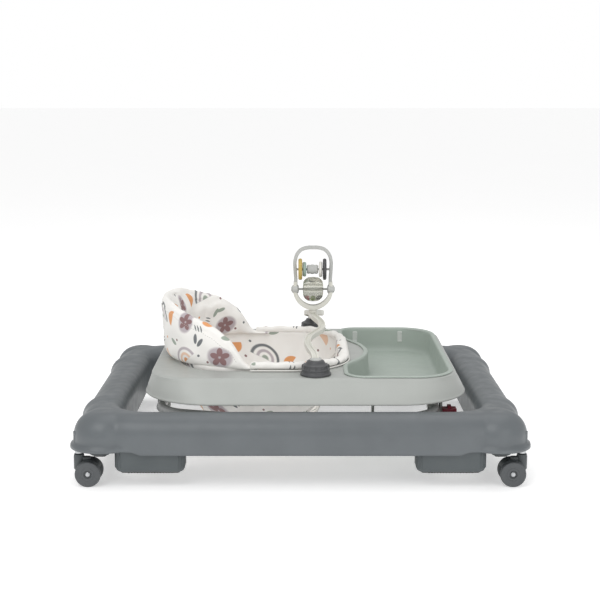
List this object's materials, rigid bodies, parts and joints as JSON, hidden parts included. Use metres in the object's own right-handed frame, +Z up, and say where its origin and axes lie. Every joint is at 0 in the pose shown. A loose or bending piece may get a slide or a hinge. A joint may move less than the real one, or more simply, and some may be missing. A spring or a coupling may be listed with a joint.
{
  "type": "baby walker",
  "caption": "Folding baby walker on swivel castors, with a scissor leg frame, play tray, padded sling seat and a spinning toy on a bow.",
  "frame": {"origin": "on the floor, under the centre of the base", "axes": "+X towards the play tub end, +Z up"},
  "size_m": [0.71, 0.5998, 0.337],
  "materials": {
    "base_plastic": "satin moulded, dark grey",
    "block_plastic": "fine matt texture, dark grey",
    "grip_rubber": "ribbed rubber",
    "steel": "bright zinc",
    "castor_plastic": "moulded dark grey",
    "wheel_plastic": "moulded dark grey",
    "leg_paint": "satin grey paint on steel tube",
    "nylon": "plain black nylon",
    "tray_plastic": "satin moulded, light warm grey",
    "tub_plastic": "satin moulded, sage green",
    "trigger_plastic": "crimson moulded",
    "board_plastic": "plain sheet",
    "printed_fabric": null,
    "dome_plastic": "dark grey moulded",
    "toy_grey_plastic": "silver grey moulded",
    "clear_plastic": "clear moulded, wall 1.5 mm",
    "bead_plastic": "coloured moulded",
    "disc_green": "pale green moulded",
    "disc_yellow": "yellow moulded",
    "disc_white": "white moulded",
    "disc_black": "black moulded"
  },
  "bodies": {
    "base": {"base_shell": "base_plastic", "stair_block_side_front_left": "block_plastic", "stair_block_end_front_left": "block_plastic", "stair_block_side_front_right": "block_plastic", "stair_block_end_front_right": "block_plastic", "stair_block_side_rear_left": "block_plastic", "stair_block_end_rear_left": "block_plastic", "stair_block_side_rear_right": "block_plastic", "stair_block_end_rear_right": "block_plastic", "grip_strips": "grip_rubber", "block_screws": "steel", "lower_rails": "base_plastic", "rear_brackets": "base_plastic", "rear_pivot_pins": "steel"},
    "outer_leg_frame": {"outer_leg": "leg_paint", "cross_pins": "steel", "cross_spacers": "nylon"},
    "inner_leg_frame": {"inner_leg": "leg_paint", "slide_pins": "steel"},
    "upper_rollers": {"upper_rail_rollers": "nylon"},
    "lower_rollers": {"lower_rail_rollers": "nylon"},
    "tray": {"tray_deck": "tray_plastic", "play_tub": "tub_plastic", "upper_rails": "tray_plastic", "rear_saddles": "tray_plastic", "seat_back_board": "board_plastic", "seat_back_pad": "printed_fabric", "seat_sling": "printed_fabric", "seat_rim_pad": "printed_fabric", "toy_dome_left": "dome_plastic", "toy_dome_right": "dome_plastic", "toy_arch": "toy_grey_plastic"},
    "trigger_left": {"fold_trigger_left": "trigger_plastic"},
    "trigger_right": {"fold_trigger_right": "trigger_plastic"},
    "toy_head": {"toy_yoke": "toy_grey_plastic", "drum_axle": "toy_grey_plastic", "toy_loop": "toy_grey_plastic"},
    "toy_drum": {"rattle_drum": "clear_plastic", "rattle_beads": "bead_plastic"},
    "toy_roller_body": {"toy_roller": "toy_grey_plastic"},
    "disc_green": {"toy_disc_green": "disc_green"},
    "disc_yellow": {"toy_disc_yellow": "disc_yellow"},
    "disc_white": {"toy_disc_white": "disc_white"},
    "disc_black": {"toy_disc_black": "disc_black"},
    "castor_front_left": {"castor_stem_front_left": "steel", "castor_fork_front_left": "castor_plastic", "castor_axle_front_left": "steel"},
    "wheels_front_left": {"castor_wheels_front_left": "wheel_plastic"},
    "castor_front_right": {"castor_stem_front_right": "steel", "castor_fork_front_right": "castor_plastic", "castor_axle_front_right": "steel"},
    "wheels_front_right": {"castor_wheels_front_right": "wheel_plastic"},
    "castor_rear_left": {"castor_stem_rear_left": "steel", "castor_fork_rear_left": "castor_plastic", "castor_axle_rear_left": "steel"},
    "wheels_rear_left": {"castor_wheels_rear_left": "wheel_plastic"},
    "castor_rear_right": {"castor_stem_rear_right": "steel", "castor_fork_rear_right": "castor_plastic", "castor_axle_rear_right": "steel"},
    "wheels_rear_right": {"castor_wheels_rear_right": "wheel_plastic"}
  },
  "joints": [
    {"name": "fold_hinge", "type": "hinge", "parent": "base", "child": "outer_leg_frame", "pos_m": [-0.224, 0, 0.062], "axis": [0, -1, 0], "range_deg": [0, 32.24]},
    {"name": "cross_hinge", "type": "hinge", "parent": "outer_leg_frame", "child": "inner_leg_frame", "pos_m": [-0.00549, 0, 0.07875], "axis": [0, -1, 0], "range_deg": [-64.48, 0]},
    {"name": "tray_hinge", "type": "hinge", "parent": "inner_leg_frame", "child": "tray", "pos_m": [-0.224, 0, 0.0955], "axis": [0, -1, 0], "range_deg": [0, 32.24]},
    {"name": "upper_roller_spin", "type": "hinge", "parent": "outer_leg_frame", "child": "upper_rollers", "pos_m": [0.21302, 0, 0.0955], "axis": [0, 1, 0], "continuous": true},
    {"name": "lower_roller_spin", "type": "hinge", "parent": "inner_leg_frame", "child": "lower_rollers", "pos_m": [0.21302, 0, 0.062], "axis": [0, 1, 0], "continuous": true},
    {"name": "fold_trigger_left_slide", "type": "slide", "parent": "tray", "child": "trigger_left", "axis": [0, -1, 0], "range_m": [0, 0.005], "stiffness_N_per_m": 250},
    {"name": "fold_trigger_right_slide", "type": "slide", "parent": "tray", "child": "trigger_right", "axis": [0, 1, 0], "range_m": [0, 0.005], "stiffness_N_per_m": 250},
    {"name": "castor_swivel_front_left", "type": "hinge", "parent": "base", "child": "castor_front_left", "pos_m": [0.34, 0.262, 0.04], "axis": [0, 0, 1], "continuous": true},
    {"name": "wheel_spin_front_left", "type": "hinge", "parent": "castor_front_left", "child": "wheels_front_left", "pos_m": [0.325, 0.262, 0.02], "axis": [0, 1, 0], "continuous": true},
    {"name": "castor_swivel_front_right", "type": "hinge", "parent": "base", "child": "castor_front_right", "pos_m": [0.34, -0.262, 0.04], "axis": [0, 0, 1], "continuous": true},
    {"name": "wheel_spin_front_right", "type": "hinge", "parent": "castor_front_right", "child": "wheels_front_right", "pos_m": [0.325, -0.262, 0.02], "axis": [0, 1, 0], "continuous": true},
    {"name": "castor_swivel_rear_left", "type": "hinge", "parent": "base", "child": "castor_rear_left", "pos_m": [-0.34, 0.262, 0.04], "axis": [0, 0, 1], "continuous": true},
    {"name": "wheel_spin_rear_left", "type": "hinge", "parent": "castor_rear_left", "child": "wheels_rear_left", "pos_m": [-0.325, 0.262, 0.02], "axis": [0, 1, 0], "continuous": true},
    {"name": "castor_swivel_rear_right", "type": "hinge", "parent": "base", "child": "castor_rear_right", "pos_m": [-0.34, -0.262, 0.04], "axis": [0, 0, 1], "continuous": true},
    {"name": "wheel_spin_rear_right", "type": "hinge", "parent": "castor_rear_right", "child": "wheels_rear_right", "pos_m": [-0.325, -0.262, 0.02], "axis": [0, 1, 0], "continuous": true},
    {"name": "toy_head_swivel", "type": "hinge", "parent": "tray", "child": "toy_head", "pos_m": [0.0215, 0, 0.23], "axis": [0, 0, 1], "continuous": true},
    {"name": "rattle_drum_spin", "type": "hinge", "parent": "toy_head", "child": "toy_drum", "pos_m": [0.0215, 0, 0.263], "axis": [1, 0, 0], "continuous": true},
    {"name": "toy_roller_spin", "type": "hinge", "parent": "toy_head", "child": "toy_roller_body", "pos_m": [0.0205, 0, 0.297], "axis": [1, 0, 0], "continuous": true},
    {"name": "green_disc_spin", "type": "hinge", "parent": "toy_head", "child": "disc_green", "pos_m": [0.0068, 0, 0.297], "axis": [1, 0, 0], "continuous": true},
    {"name": "yellow_disc_spin", "type": "hinge", "parent": "toy_head", "child": "disc_yellow", "pos_m": [-0.0002, 0, 0.297], "axis": [1, 0, 0], "continuous": true},
    {"name": "white_disc_spin", "type": "hinge", "parent": "toy_head", "child": "disc_white", "pos_m": [0.0342, 0, 0.297], "axis": [1, 0, 0], "continuous": true},
    {"name": "black_disc_spin", "type": "hinge", "parent": "toy_head", "child": "disc_black", "pos_m": [0.0412, 0, 0.297], "axis": [1, 0, 0], "continuous": true}
  ],
  "couplings": [
    {"joint": "cross_hinge", "follows": "fold_hinge", "ratio": -2},
    {"joint": "tray_hinge", "follows": "fold_hinge", "ratio": 1}
  ]
}
